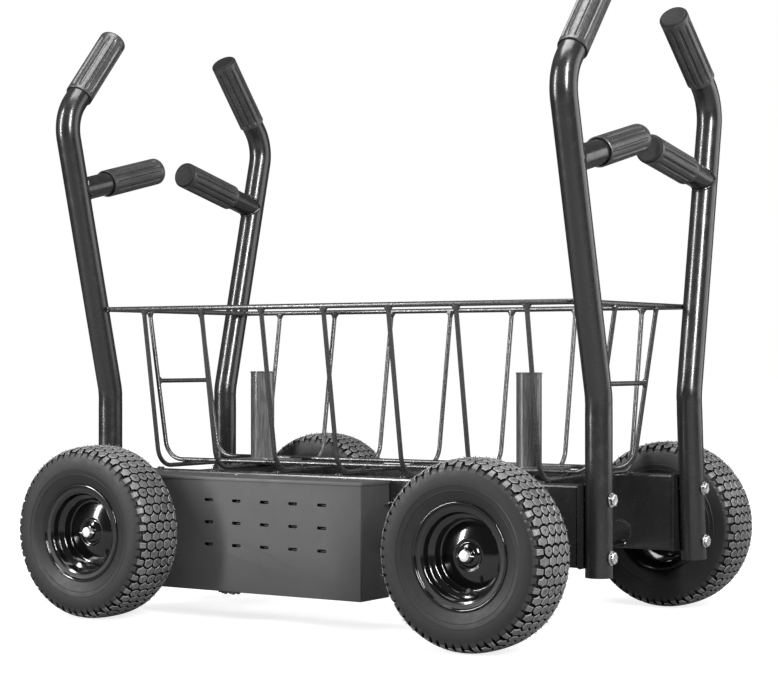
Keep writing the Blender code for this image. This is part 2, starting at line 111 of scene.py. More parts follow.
# Basket
RIM_ROD_RADIUS = 0.0050
WIRE_RADIUS = 0.0045
WIRE_BEND = 0.042
RIM_CORNER = 0.010


# Mesh helpers

def angles(count):
    """The directions of that many even steps round a whole turn."""
    return [2 * math.pi * step / count for step in range(count)]


def skin(bm, rings, closed=False, caps=True):
    """Joins rings of equal length, each to the next, and caps the two ends."""
    pairs = list(zip(rings, rings[1:]))
    if closed:
        pairs.append((rings[-1], rings[0]))
    sides = []
    for first, second in pairs:
        for index in range(len(first)):
            after = (index + 1) % len(first)
            sides.append(bm.faces.new((first[index], first[after], second[after], second[index])))
    if caps and not closed:
        bm.faces.new(rings[0])
        bm.faces.new(rings[-1])
    return sides


def ring(bm, centre, tangent, across, radius, sides, shape=None):
    """A ring of points round the tangent; shape gives the radius's share at an angle."""
    side = tangent.cross(across).normalized()
    over = side.cross(tangent).normalized()
    points = []
    for angle in angles(sides):
        reach = radius * (shape(angle) if shape else 1.0)
        points.append(bm.verts.new(centre + (side * math.cos(angle) + over * math.sin(angle)) * reach))
    return points


def tangent_at(path, index, closed):
    last = len(path) - 1
    before = path[index - 1] if index > 0 or closed else path[index]
    after = path[(index + 1) % len(path)] if index < last or closed else path[index]
    return (after - before).normalized()


def sweep(bm, path, radius, sides, across, closed=False, radius_at=None):
    """A round rod along the path; across is any direction square to the path."""
    rings = []
    for index, point in enumerate(path):
        reach = radius * (radius_at(index) if radius_at else 1.0)
        rings.append(ring(bm, point, tangent_at(path, index, closed), across, reach, sides))
    skin(bm, rings, closed)


def lathe(bm, profile, sides, place=Matrix.Identity(4), closed=False):
    """The (radius, height) profile turned about the place's Z axis."""
    rings = []
    for radius, height in profile:
        rings.append([bm.verts.new(place @ Vector((radius * math.cos(angle), radius * math.sin(angle),
                                                   height))) for angle in angles(sides)])
    skin(bm, rings, closed)


def rounded_path(corners, radius, steps):
    """The corners joined by straight runs, with each inner corner turned as an arc."""
    path = [corners[0]]
    for before, corner, after in zip(corners, corners[1:], corners[2:]):
        arriving = (corner - before).normalized()
        leaving = (after - corner).normalized()
        turn = arriving.angle(leaving)
        start = corner - arriving * radius * math.tan(turn / 2)
        inward = (leaving - arriving * arriving.dot(leaving)).normalized()
        for step in range(steps + 1):
            angle = turn * step / steps
            path.append(start + arriving * radius * math.sin(angle)
                        + inward * radius * (1 - math.cos(angle)))
    path.append(corners[-1])
    return path


def blob(bm, centre, along, length, width, seed):
    """A lumpy bead of weld, longest in one direction."""
    sides, rows = 10, 6
    noise = random.Random(seed)
    along = along.normalized()
    across = along.orthogonal().normalized()
    rings = []
    for row in range(1, rows):
        angle = math.pi * row / rows
        point = centre + along * length / 2 * math.cos(angle)
        reach = width / 2 * math.sin(angle) * noise.uniform(0.9, 1.1)
        rings.append(ring(bm, point, along, across, reach, sides,
                          lambda _: noise.uniform(0.9, 1.08)))
    skin(bm, rings)


def bead(bm, path, radius, across, seed, closed=False):
    """A rippled run of weld along the path."""
    noise = random.Random(seed)
    sweep(bm, path, radius, 8, across, closed,
          lambda index: 1.0 + 0.16 * math.sin(2.1 * index) + noise.uniform(-0.08, 0.08))


def even_run(start, end, spacing):
    count = max(2, round((end - start).length / spacing))
    return [start.lerp(end, step / count) for step in range(count + 1)]


def straight_bead(bm, start, end, spacing, radius, across, seed):
    bead(bm, even_run(Vector(start), Vector(end), spacing), radius, across, seed)


def mesh_from(bm, name, *materials, sharp=35):
    bmesh.ops.recalc_face_normals(bm, faces=bm.faces)
    mesh = bpy.data.meshes.new(name)
    bm.to_mesh(mesh)
    bm.free()
    for material in materials:
        mesh.materials.append(material)
    mesh.shade_smooth()
    mesh.set_sharp_from_angle(angle=math.radians(sharp))
    return mesh


def new_object(name, data):
    obj = bpy.data.objects.new(name, data)
    bpy.context.scene.collection.objects.link(obj)
    return obj


def add_piece(name, mesh, body=CHASSIS, place=Matrix.Identity(4), replaces=()):
    obj = new_object(name, mesh)
    obj.matrix_world = place
    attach(obj, body)
    if replaces:
        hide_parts(*replaces)
    return obj


def with_modifiers(bm, name, *materials, cutters=(), **settings):
    """The shape after a bevel, a wall thickness and cuts, as one finished mesh."""
    obj = new_object(name, mesh_from(bm, name, *materials))
    if "bevel" in settings:
        bevel = obj.modifiers.new("Bevel", "BEVEL")
        bevel.width = settings["bevel"]
        bevel.segments = 4
    if "wall" in settings:
        wall = obj.modifiers.new("Wall", "SOLIDIFY")
        wall.thickness = settings["wall"]
        wall.offset = -1
    helpers = []
    for index, cutter in enumerate(cutters):
        helper = new_object("%s_cutter_%d" % (name, index), mesh_from(cutter, name))
        helpers.append(helper)
        cut = obj.modifiers.new("Cut", "BOOLEAN")
        cut.operation = "DIFFERENCE"
        cut.object = helper
    bpy.context.view_layer.update()
    evaluated = obj.evaluated_get(bpy.context.evaluated_depsgraph_get())
    mesh = bpy.data.meshes.new_from_object(evaluated)
    for used in [obj] + helpers:
        bpy.data.objects.remove(used, do_unlink=True)
    mesh.shade_smooth()
    mesh.set_sharp_from_angle(angle=math.radians(30))
    return mesh


def node_middle(node):
    low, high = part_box(node)
    return (low + high) / 2


# Materials

def grey(level):
    return (level, level, level * 1.02, 1.0)


def make_material(name, dark, light, roughness, metallic=0.0, specular=0.5, patch=9.0,
                  rough_range=0.06, grain=900.0, bump=0.05, stretch=(1, 1, 1), coat=0.0):
    """Paint, rubber or metal: patchy colour, uneven gloss and a fine grain."""
    material = bpy.data.materials.new(name)
    material.use_nodes = True
    nodes, links = material.node_tree.nodes, material.node_tree.links
    shader = nodes["Principled BSDF"]
    shader.inputs["Metallic"].default_value = metallic
    shader.inputs["Specular IOR Level"].default_value = specular
    shader.inputs["Coat Weight"].default_value = coat
    shader.inputs["Coat Roughness"].default_value = 0.08
    place = nodes.new("ShaderNodeTexCoord")
    mapping = nodes.new("ShaderNodeMapping")
    mapping.inputs["Scale"].default_value = stretch
    links.new(place.outputs["Object"], mapping.inputs["Vector"])

    def noise(scale, detail):
        node = nodes.new("ShaderNodeTexNoise")
        node.inputs["Scale"].default_value = scale
        node.inputs["Detail"].default_value = detail
        links.new(mapping.outputs["Vector"], node.inputs["Vector"])
        return node.outputs["Fac"]

    def mapped(source, low, high):
        node = nodes.new("ShaderNodeMapRange")
        node.inputs["From Min"].default_value = 0.3
        node.inputs["From Max"].default_value = 0.7
        node.inputs["To Min"].default_value = low
        node.inputs["To Max"].default_value = high
        links.new(source, node.inputs["Value"])
        return node.outputs["Result"]

    colour = nodes.new("ShaderNodeMix")
    colour.data_type = "RGBA"
    colour.inputs["A"].default_value = grey(dark)
    colour.inputs["B"].default_value = grey(light)
    blend = nodes.new("ShaderNodeMath")
    blend.operation = "MULTIPLY"
    links.new(mapped(noise(patch, 4.0), 0.35, 1.0), blend.inputs[0])
    links.new(mapped(noise(patch * 40, 3.0), 0.3, 1.0), blend.inputs[1])
    links.new(blend.outputs[0], colour.inputs["Factor"])
    links.new(colour.outputs["Result"], shader.inputs["Base Color"])
    links.new(mapped(noise(patch * 6, 5.0), roughness - rough_range, roughness + rough_range),
              shader.inputs["Roughness"])
    relief = nodes.new("ShaderNodeBump")
    relief.inputs["Strength"].default_value = bump
    relief.inputs["Distance"].default_value = 0.0004
    links.new(noise(grain, 2.0), relief.inputs["Height"])
    links.new(relief.outputs["Normal"], shader.inputs["Normal"])
    return material


FRAME_PAINT = make_material("frame_paint", 0.008, 0.014, 0.24, grain=420, bump=0.12)
# The posts' colour runs in tall light streaks: partly the tube's grain, partly painted highlights down the
# post.
POST_GRAIN_AND_HIGHLIGHTS = make_material("post_grain_and_painted_highlights", 0.004, 0.140, 0.22, specular=0.6, patch=10,
                           rough_range=0.12, grain=300, bump=0.45, stretch=(1, 1, 0.08))
WIRE_PAINT = make_material("wire_paint", 0.010, 0.030, 0.28, specular=0.6, patch=30,
                           rough_range=0.12, grain=500, bump=0.30)
BOX_PAINT = make_material("box_paint", 0.030, 0.037, 0.46, specular=0.4, patch=5, grain=1100, bump=0.08)
RIM_PAINT = make_material("gloss_black", 0.0015, 0.0025, 0.13, specular=0.45, rough_range=0.02,
                          grain=60, bump=0.02, coat=0.3)
SIDEWALL = make_material("sidewall_rubber", 0.007, 0.012, 0.50, specular=0.27, patch=14,
                         grain=1400, bump=0.14)
# Tread tops are much lighter than the other rubber: partly dust, partly painted light where the tops face
# the lamps.
TREAD_DUST_AND_LIGHT = make_material("tread_dust_and_painted_light", 0.006, 0.150, 0.46, specular=0.60, patch=10,
                      rough_range=0.14, grain=700, bump=0.90)
# Groove floors and block walls are near-black: painted shade in the recesses.
GROOVE_SHADE = make_material("groove_painted_shade", 0.003, 0.006, 0.65, specular=0.15, patch=20)
# The blocks' top-edge chamfers are light grey: a painted highlight along the edges.
TREAD_EDGE_HIGHLIGHT = make_material("tread_edge_painted_highlight", 0.060, 0.300, 0.45, specular=0.60, patch=40,
                           rough_range=0.10, grain=700, bump=0.60)
# Shoulder lugs are darker than the tread tops: painted shade where the blocks turn away from the lamps.
LUG_SHADE = make_material("lug_painted_shade", 0.010, 0.022, 0.50, specular=0.32, patch=24,
                           rough_range=0.10, grain=800, bump=0.35)
GRIP = make_material("grip_rubber", 0.011, 0.040, 0.36, specular=0.55, patch=24,
                     rough_range=0.10, grain=650, bump=0.50)
# The grips' end caps are darker than the sleeves: painted shade.
GRIP_CAP_SHADE = make_material("grip_cap_painted_shade", 0.004, 0.012, 0.62, specular=0.15, patch=60,
                         rough_range=0.10, grain=500, bump=0.60)
ZINC = make_material("zinc_plate", 0.55, 0.72, 0.26, metallic=1.0, patch=60, grain=500, bump=0.08)
STEEL = make_material("turned_steel", 0.86, 0.95, 0.42, metallic=1.0, patch=40, grain=900, bump=0.10)


# Tyres

def bezier(first, second, third, fourth, steps):
    points = []
    for step in range(steps + 1):
        t = step / steps
        points.append(first * (1 - t) ** 3 + second * 3 * t * (1 - t) ** 2
                      + third * 3 * t * t * (1 - t) + fourth * t ** 3)
    return points


class TyreOutline:
    """One side's outer line as (half width, radius), measured from the crown's middle."""

    def __init__(self):
        widest = Vector((0.0575, 0.128))
        crown = bezier(Vector((0, WHEEL_RADIUS)), Vector((0.051, WHEEL_RADIUS)),
                       Vector((0.0575, 0.158)), widest, 160)
        side = bezier(widest, Vector((0.0575, 0.112)), Vector((0.0515, 0.101)),
                      Vector((0.0488, 0.0936)), 60)
        self.points = crown + side[1:]
        self.lengths = [0.0]
        for before, after in zip(self.points, self.points[1:]):
            self.lengths.append(self.lengths[-1] + (after - before).length)
        self.total = self.lengths[-1]

    def at(self, length):
        """The point and the outward normal at a distance along the line."""
        index = 1
        while index < len(self.points) - 1 and self.lengths[index] < length:
            index += 1
        before, after = self.points[index - 1], self.points[index]
        share = (length - self.lengths[index - 1]) / (self.lengths[index] - self.lengths[index - 1])
        direction = (after - before).normalized()
        return before.lerp(after, share), Vector((-direction.y, direction.x))

    def length_at_radius(self, radius):
        return next(length for point, length in zip(self.points, self.lengths) if point.y <= radius)

    def place(self, length, depth, pitches, side):
        """A point in the wheel's frame, depth below the outer line."""
        point, normal = self.at(abs(length))
        point = point - normal * depth
        angle = 2 * math.pi * pitches / TREAD_PITCHES
        width = point.x * side * (1 if length >= 0 else -1)
        return Vector((point.y * math.cos(angle), point.y * math.sin(angle), width))


OUTLINE = TyreOutline()
LUG_END = OUTLINE.length_at_radius(LUG_END_RADIUS)
SIDE_RINGS = (0.1215, 0.1120)


def carcass_profile():
    """The tyre under its tread blocks, with the moulded rings on its sides."""
    half = [(OUTLINE.total * step / 29, 0.0) for step in range(30)]
    for radius in SIDE_RINGS:
        length = OUTLINE.length_at_radius(radius)
        half += [(length - 0.0009, 0.0), (length - 0.0003, 0.0006), (length + 0.0003, 0.0006),
                 (length + 0.0009, 0.0)]
    outer = []
    for length, rise in sorted(half):
        share = min(1.0, max(0.0, (LUG_END - 0.001 - length) / 0.012))
        depth = TREAD_DEPTH * share * share * (3 - 2 * share) - rise
        point, normal = OUTLINE.at(length)
        point = point - normal * depth
        outer.append((point.y, point.x))
    bead_seat = [(0.0915, 0.0474), (0.0800, 0.0460), (0.0772, 0.0440)]
    inner = [(0.0772, 0.0340), (0.130, 0.0470), (0.150, 0.0330)]
    left = outer + bead_seat + inner
    right = [(radius, -width) for radius, width in left]
    return left + right[:0:-1]


def add_block(bm, stations, phase, side, pit=False):
    """A tread block from stations (distance across, reach below, reach above) in metres."""
    pitch = 2 * math.pi * WHEEL_RADIUS / TREAD_PITCHES
    middle = (stations[0][0] + stations[-1][0]) / 2
    half = (stations[-1][0] - stations[0][0]) / 2
    levels = [(TREAD_DEPTH + 0.0006, 1.0, 1.0, 0.0), (0.0008, 1.0, 1.0, 0.0003), (0.0, 1.0, 1.0, 0.0010)]
    if pit:
        levels += [(0.0001, 0.20, 0.26, 0.0), (0.0030, 0.17, 0.22, 0.0)]
    rings = []
    for depth, wide, tall, inset in levels:
        high, low = [], []
        for across, below, above in stations:
            place = middle + (across - middle) * wide * (1 - inset / half)
            rise, drop = ((reach * tall - inset) / pitch for reach in (above, below))
            high.append(bm.verts.new(OUTLINE.place(place, depth, phase + rise, side)))
            low.append(bm.verts.new(OUTLINE.place(place, depth, phase - drop, side)))
        rings.append(high + low[::-1])
    sides = skin(bm, rings, caps=False)
    turn = len(rings[0])
    for face in sides[:turn]:
        # Block walls take the near-black rubber: painted shade.
        face.material_index = GROOVE_SHADE_INDEX
    # The top-edge chamfer takes the light rubber: a painted highlight.
    for face in sides[turn:2 * turn]:
        face.material_index = EDGE_HIGHLIGHT_INDEX
    for points in (rings[0], rings[-1]):
        for index in range(len(stations) - 1):
            bm.faces.new((points[index], points[index + 1],
                          points[-2 - index], points[-1 - index]))


def tread_block(middle, round_ended, noise):
    """A round-ended block, or the one that fits the gaps between four of them."""
    pitch = 2 * math.pi * WHEEL_RADIUS / TREAD_PITCHES
    half = (BLOCK_SPACING - SIPE) / 2
    uneven = [noise.uniform(-0.025, 0.025) for _ in range(2)]

    def arch(share):
        return max(0.0, math.cos(share * math.pi / 2)) ** 0.8

    stations = []
    for step in range(-4, 5):
        share = step / 4
        if round_ended:
            below, above = 0.29 + 0.34 * arch(share), 0.38 + 0.20 * arch(share)
        else:
            below, above = 0.62 - 0.20 * arch(1 - abs(share)), 0.71 - 0.34 * arch(1 - abs(share))
        stations.append((middle + half * share, pitch * (below + uneven[0]) - GROOVE / 2,
                         pitch * (above + uneven[1]) - GROOVE / 2))
    return stations


def lug_stations(start):
    """A shoulder lug that narrows slightly and ends on the side."""
    shape = [(0.0, 0.28), (0.12, 0.31), (0.35, 0.325), (0.60, 0.36), (0.80, 0.42), (1.0, 0.44)]
    pitch = 2 * math.pi * WHEEL_RADIUS / TREAD_PITCHES
    return [(start + (LUG_END - start) * share, pitch * reach, pitch * reach) for share, reach in shape]


def add_tread(bm):
    """Rows of blocks laid like bricks round the wheel, with a lug at each end of every row."""
    noise = random.Random(9)
    for row in range(TREAD_PITCHES):
        round_ended = row % 2 == 0
        offsets = (-1.5, -0.5, 0.5, 1.5) if round_ended else (-2, -1, 0, 1, 2)
        for offset in offsets:
            add_block(bm, tread_block(abs(offset) * BLOCK_SPACING, round_ended, noise), row,
                      1 if offset >= 0 else -1, pit=round_ended)
        edge = (abs(offsets[0]) + 0.5) * BLOCK_SPACING + GROOVE / 2
        for side in (1, -1):
            add_block(bm, lug_stations(edge), row, side)


def add_whiskers(bm, count, seed):
    """Thin moulding whiskers, kept off the part of the tread near the ground."""
    noise = random.Random(seed)
    for _ in range(count):
        length = noise.uniform(-0.050, 0.050)
        pitches = TREAD_PITCHES * noise.uniform(0.09, 0.91)
        root = OUTLINE.place(length, 0.0006, pitches, 1)
        tip = OUTLINE.place(length, -noise.uniform(0.0015, 0.0040), pitches + noise.uniform(-0.1, 0.2), 1)
        direction = (tip - root).normalized()
        across = direction.orthogonal()
        skin(bm, [ring(bm, root, direction, across, 0.00065, 4),
                  ring(bm, tip, direction, across, 0.00035, 4)])


def tyre_mesh():
    bm = bmesh.new()
    lathe(bm, carcass_profile(), WHEEL_SIDES, closed=True)
    smooth_faces = len(bm.faces)
    add_tread(bm)
    add_whiskers(bm, WHISKERS, 5)
    bm.faces.index_update()
    for face in bm.faces:
        # Crown carcass faces take the groove slot (painted shade). Off-crown block faces take the lug slot
        # (painted shade). Crown block faces take the tread slot (dust and painted light).
        middle = face.calc_center_median()
        on_crown = math.hypot(middle.x, middle.y) > SHOULDER_RADIUS
        if face.index < smooth_faces:
            face.material_index = GROOVE_SHADE_INDEX if on_crown else SIDEWALL_INDEX
        elif not on_crown:
            face.material_index = LUG_SHADE_INDEX
        elif face.material_index == SIDEWALL_INDEX:
            face.material_index = TREAD_DUST_AND_LIGHT_INDEX
    return mesh_from(bm, "tyre", SIDEWALL, TREAD_DUST_AND_LIGHT, LUG_SHADE, GROOVE_SHADE, TREAD_EDGE_HIGHLIGHT, sharp=28)


# Rims, valves and axle ends

def rim_profile():
    """A pressed rim, outboard side up: flange, ledge, drop centre, domed disc and hub."""
    flange = [(0.0905, 0.0468), (0.0924, 0.0478), (0.0929, 0.0492), (0.0923, 0.0504),
              (0.0908, 0.0510), (0.0892, 0.0506), (0.0882, 0.0494), (0.0876, 0.0476),
              (0.0866, 0.0466), (0.0765, 0.0452), (0.0744, 0.0436), (0.0738, 0.0410)]
    well = [(0.0730, 0.0318), (0.0722, 0.0302), (0.0700, 0.0290), (0.0645, 0.0262),
            (0.0628, 0.0246), (0.0622, 0.0222), (0.0620, 0.0110), (0.0612, 0.0090),
            (0.0596, 0.0080), (0.0578, 0.0080)]
    dome = []
    for step in range(14):
        radius = DISC_RADIUS - (DISC_RADIUS - 0.0270) * step / 13
        rise = 1 - (radius / DISC_RADIUS) ** 2
        dome.append((radius, DISC_EDGE_HEIGHT + DISC_DOME * rise))
    step_in = dome[-1][1]
    hub = [(0.0258, step_in - 0.0006), (0.0244, step_in - 0.0026), (0.0226, step_in - 0.0030),
           (0.0208, step_in - 0.0018), (0.0196, step_in + 0.0002), (0.0160, step_in + 0.0016),
           (0.0138, step_in + 0.0020), (HUB_RADIUS + 0.0005, step_in + 0.0032),
           (HUB_RADIUS, step_in + 0.0050), (HUB_RADIUS, HUB_FACE - 0.0007),
           (HUB_RADIUS - 0.0007, HUB_FACE), (0.0100, HUB_FACE), (0.0098, HUB_FACE - 0.0006)]
    back = [(0.0098, -0.0490), (0.0132, -0.0490), (0.0135, 0.0100), (0.0300, 0.0105),
            (0.0560, 0.0045), (0.0600, 0.0040), (0.0606, 0.0010), (0.0606, -0.0215),
            (0.0620, -0.0240), (0.0716, -0.0300), (0.0724, -0.0410), (0.0740, -0.0452),
            (0.0850, -0.0480), (0.0870, -0.0500), (0.0905, -0.0518), (0.0929, -0.0495),
            (0.0905, -0.0468), (0.0768, -0.0440), (0.0745, -0.0310), (0.0640, -0.0240),
            (0.0636, 0.0200), (0.0650, 0.0245), (0.0745, 0.0300), (0.0755, 0.0400),
            (0.0768, 0.0440)]
    return flange + well + dome + hub + back


def rim_mesh():
    bm = bmesh.new()
    lathe(bm, rim_profile(), WHEEL_SIDES, closed=True)
    return mesh_from(bm, "wheel_rim", RIM_PAINT, sharp=50)


def valve_mesh():
    """A rubber stem on the drop centre, leaning towards the hub, with its cap."""
    bm = bmesh.new()
    lean = Matrix.Translation((VALVE_RADIUS - 0.0015, 0, 0.024)) @ Matrix.Rotation(VALVE_LEAN, 4, "Y")
    stem = [(0.0060, -0.004), (0.0062, 0.001), (0.0048, 0.004), (0.0042, 0.006), (0.0040, 0.0135),
            (0.0036, 0.0140), (0.0045, 0.0144), (0.0045, 0.0220), (0.0038, 0.0230)]
    lathe(bm, stem, 24, lean)
    return mesh_from(bm, "valve", SIDEWALL, sharp=40)


def build_wheels():
    tyre, rim, valve = tyre_mesh(), rim_mesh(), valve_mesh()
    for corner, (_, left) in CORNERS.items():
        outward = Matrix.Rotation(-left * math.pi / 2, 4, "X")
        hub = Matrix.Translation(node_middle("tyre_" + corner)) @ outward
        hub = hub @ Matrix.Rotation(left * math.pi / 2, 4, "Z")
        body = "wheel_" + corner
        add_piece("turf_tyre_" + corner, tyre, body, hub, ["tyre_" + corner])
        add_piece("pressed_rim_" + corner, rim, body, hub, ["wheel_rim_" + corner])
        turned = hub @ Matrix.Rotation(left * VALVE_TURNS[corner], 4, "Z")
        add_piece("valve_stem_" + corner, valve, body, turned)


def cotter_mesh():
    """A split pin along X: an eye on one side, two spread legs on the other."""
    bm = bmesh.new()
    reach = 0.0120
    eye = [Vector((reach + 0.0028 - 0.0028 * math.cos(angle), 0.0028 * math.sin(angle), 0))
           for angle in (math.radians(20 + 32 * step) for step in range(11))]
    sweep(bm, eye, 0.0008, 8, UP)
    for leg in (1, -1):
        path = rounded_path([Vector((reach + 0.001, 0, leg * 0.0006)), Vector((-reach, 0, leg * 0.0006)),
                             Vector((-reach - 0.0052, leg * 0.0022, leg * 0.0022))], 0.002, 5)
        sweep(bm, path, 0.00075, 8, Y_AXIS)
    return mesh_from(bm, "cotter", ZINC)


def build_axles():
    cotter = cotter_mesh()
    for name in ENDS:
        low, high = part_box("axle_shaft_" + name)
        middle, half = (low + high) / 2, (high.y - low.y) / 2
        radius = (high.z - low.z) / 2
        along = Matrix.Translation(middle) @ Matrix.Rotation(-math.pi / 2, 4, "X")
        end = [(radius - 0.0014, half), (radius - 0.0004, half - 0.0006), (radius, half - 0.0016)]
        bm = bmesh.new()
        lathe(bm, end + [(reach, -height) for reach, height in reversed(end)], 48, along)
        add_piece("turned_axle_" + name, mesh_from(bm, "axle", STEEL),
                  replaces=["axle_shaft_" + name])
        low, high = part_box("axle_tube_" + name)
        outer, half = (high.z - low.z) / 2, (high.y - low.y) / 2
        bore = radius + 0.0006
        bm = bmesh.new()
        lathe(bm, [(outer, half - 0.001), (outer, 0.001 - half), (outer - 0.001, -half),
                   (bore, -half), (bore, half), (outer - 0.001, half)], 48, along, closed=True)
        for side in SIDES.values():
            for face in (RAIL_INNER, RAIL_OUTER):
                centre = Vector((middle.x, side * face, middle.z))
                circle = [centre + Vector((math.cos(angle), 0, math.sin(angle))) * outer
                          for angle in angles(40)]
                bead(bm, circle, 0.0026, Y_AXIS, 31, closed=True)
        add_piece("axle_sleeve_" + name, mesh_from(bm, "axle_sleeve", FRAME_PAINT),
                  replaces=["axle_tube_" + name])
        for side in SIDES:
            pin = "cotter_pin_%s_%s" % (name, side)
            add_piece("split_pin_%s_%s" % (name, side), cotter,
                      place=Matrix.Translation(node_middle(pin)), replaces=[pin])


# Chassis

RAIL_LOW, RAIL_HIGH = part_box("rail_left")
RAIL_INNER, RAIL_OUTER = RAIL_LOW.y, RAIL_HIGH.y
RAIL_TOP, RAIL_BOTTOM = RAIL_HIGH.z, RAIL_LOW.z


def paint_node(node, material):
    mesh_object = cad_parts[node]
    mesh_object.data.materials.clear()
    mesh_object.data.materials.append(material)


def build_chassis():
    for side, left in SIDES.items():
        paint_node("rail_" + side, FRAME_PAINT)
    for name, front in ENDS.items():
        paint_node("cross_member_" + name, FRAME_PAINT)
        member_low, member_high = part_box("cross_member_" + name)
        bm = bmesh.new()
        for left in SIDES.values():
            y = left * (RAIL_INNER - 0.0005)
            for x in (member_low.x, member_high.x):
                straight_bead(bm, (x, y, member_low.z), (x, y, member_high.z), 0.002, 0.0022, X_AXIS, 7)
            straight_bead(bm, (member_low.x, y, member_low.z), (member_high.x, y, member_low.z),
                          0.002, 0.0022, UP, 8)
        x = node_middle("axle_tube_" + name).x + front * 0.004
        ends = [Vector((x, left * RAIL_INNER, RAIL_BOTTOM + 0.0075)) for left in (-1, 1)]
        sweep(bm, ends, 0.0046, 20, UP)
        for end in ends:
            blob(bm, end, Y_AXIS, 0.008, 0.014, 12)
        add_piece("tie_rod_and_welds_" + name, mesh_from(bm, "tie_rod", FRAME_PAINT))
    for corner, (front, left) in CORNERS.items():
        paint_node("end_plate_" + corner, FRAME_PAINT)
        bm = bmesh.new()
        x = front * (RAIL_HIGH.x + 0.0003)
        faces = [left * RAIL_INNER, left * RAIL_OUTER]
        for y in faces:
            straight_bead(bm, (x, y, RAIL_BOTTOM + 0.004), (x, y, RAIL_TOP - 0.004),
                          0.0022, 0.0024, X_AXIS, 17)
        for z in (RAIL_BOTTOM, RAIL_TOP):
            straight_bead(bm, (x, faces[0] + left * 0.004, z), (x, faces[1] - left * 0.004, z),
                          0.0022, 0.0024, X_AXIS, 19)
        add_piece("end_plate_weld_" + corner, mesh_from(bm, "end_plate_weld", FRAME_PAINT))


BOLT_HEAD = 0.0075
BOLT_TURNS = {"lower": 0.8, "upper": 0.3}


def bolt_mesh():
    """A washer, a chamfered hex head and a threaded shank, with the seat at z = 0."""
    bm = bmesh.new()
    washer = [(0.0066, 0.0), (0.0122, 0.0), (0.0128, 0.0005), (0.0128, 0.0012), (0.0122, 0.0017),
              (0.0066, 0.0017)]
    lathe(bm, washer, 40, closed=True)
    rings = []
    for share, height in ((0.94, 0.0017), (1.0, 0.0024), (1.0, 0.0064), (0.95, 0.0071), (0.84, BOLT_HEAD)):
        points = []
        for angle in angles(36):
            flat = 0.0099 / math.cos((angle % (math.pi / 3)) - math.pi / 6)
            reach = min(flat, 0.0110) * share
            points.append(bm.verts.new((reach * math.cos(angle), reach * math.sin(angle), height)))
        rings.append(points)
    dish = [(0.0070, 0.0074), (0.0040, 0.0072)]
    for radius, height in dish:
        rings.append([bm.verts.new((radius * math.cos(angle), radius * math.sin(angle), height))
                      for angle in angles(36)])
    skin(bm, rings)
    shank = [(0.0060, 0.0020)]
    for turn in range(16):
        shank += [(0.0060, -0.030 - 0.002 * turn), (0.0053, -0.031 - 0.002 * turn)]
    shank.append((0.0048, -0.0640))
    lathe(bm, shank, 20)
    return mesh_from(bm, "hex_bolt", ZINC, sharp=25)


def build_bolts():
    bolt = bolt_mesh()
    for corner, (front, _) in CORNERS.items():
        for level, turn in BOLT_TURNS.items():
            node = "bolt_%s_%s" % (corner, level)
            low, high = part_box(node)
            head_outer = high.x if front > 0 else low.x
            seat = Vector((head_outer - front * BOLT_HEAD, (low.y + high.y) / 2, (low.z + high.z) / 2))
            place = Matrix.Translation(seat) @ Matrix.Rotation(front * math.pi / 2, 4, "Y")
            place = place @ Matrix.Rotation(turn, 4, "Z")
            add_piece("hex_bolt_%s_%s" % (corner, level), bolt, place=place, replaces=[node])


# Uprights and grips, drawn for the left side in the plane x = 0

MID_DIRECTION = Vector((0, -math.cos(MID_GRIP_RISE), math.sin(MID_GRIP_RISE)))
LEAN_DIRECTION = Vector((0, math.sin(SPLAY), math.cos(SPLAY)))
UPRIGHT_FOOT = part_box("upright_front_right")[0].z
KINK = Vector((0, RAIL_Y, KINK_HEIGHT))
MID_ROOT = KINK + LEAN_DIRECTION * (MID_GRIP_ROOT_HEIGHT - KINK_HEIGHT) / math.cos(SPLAY)


def tilt_of(corner, x):
    """One upright stands askew, turned about a point low on its tube."""
    left = CORNERS[corner][1]
    pivot = Matrix.Translation((x, left * RAIL_Y, TILT_PIVOT_HEIGHT))
    return pivot @ Matrix.Rotation(left * INWARD_TILT.get(corner, 0.0), 4, "X") @ pivot.inverted()


def top_bend(corner):
    """The top bend's corner point and the direction of the grip above it."""
    lean = TOP_GRIP_LEAN + EXTRA_LEAN.get(corner, 0.0)
    climb = APEX_HEIGHT + EXTRA_APEX_HEIGHT.get(corner, 0.0) - KINK_HEIGHT
    return (KINK + LEAN_DIRECTION * climb / math.cos(SPLAY),
            Vector((0, -math.sin(lean), math.cos(lean))))


def upright_path(apex, top):
    foot = Vector((0, RAIL_Y, UPRIGHT_FOOT))
    tube_end = apex + top * (TOP_GRIP_START + TUBE_IN_GRIP)
    bends = rounded_path([foot, KINK, apex], KINK_RADIUS, 14)[:-1]
    bends += rounded_path([KINK, apex, tube_end], APEX_RADIUS, 26)[1:]
    path = bends[:1]
    for before, after in zip(bends, bends[1:]):
        span = max(1, round((after - before).length / 0.020))
        path += [before.lerp(after, step / span) for step in range(1, span + 1)]
    return path


def crease(height):
    """The tube narrows a little where the bender gripped it, at the foot of the kink."""
    return 1.0 - 0.022 * math.exp(-((height - KINK_HEIGHT + 0.016) / 0.0045) ** 2)


def stub_seam(radius):
    """The line where the stub of that radius meets the leaning tube."""
    side = MID_DIRECTION.cross(X_AXIS)
    points = []
    for angle in angles(48):
        start = MID_ROOT + (X_AXIS * math.cos(angle) + side * math.sin(angle)) * radius
        offset = start - MID_ROOT
        flat = MID_DIRECTION - LEAN_DIRECTION * MID_DIRECTION.dot(LEAN_DIRECTION)
        base = offset - LEAN_DIRECTION * offset.dot(LEAN_DIRECTION)
        a, b, c = flat.dot(flat), base.dot(flat), base.dot(base) - TUBE_RADIUS ** 2
        reach = (-b + math.sqrt(max(0.0, b * b - a * c))) / a
        points.append(start + MID_DIRECTION * reach)
    return points


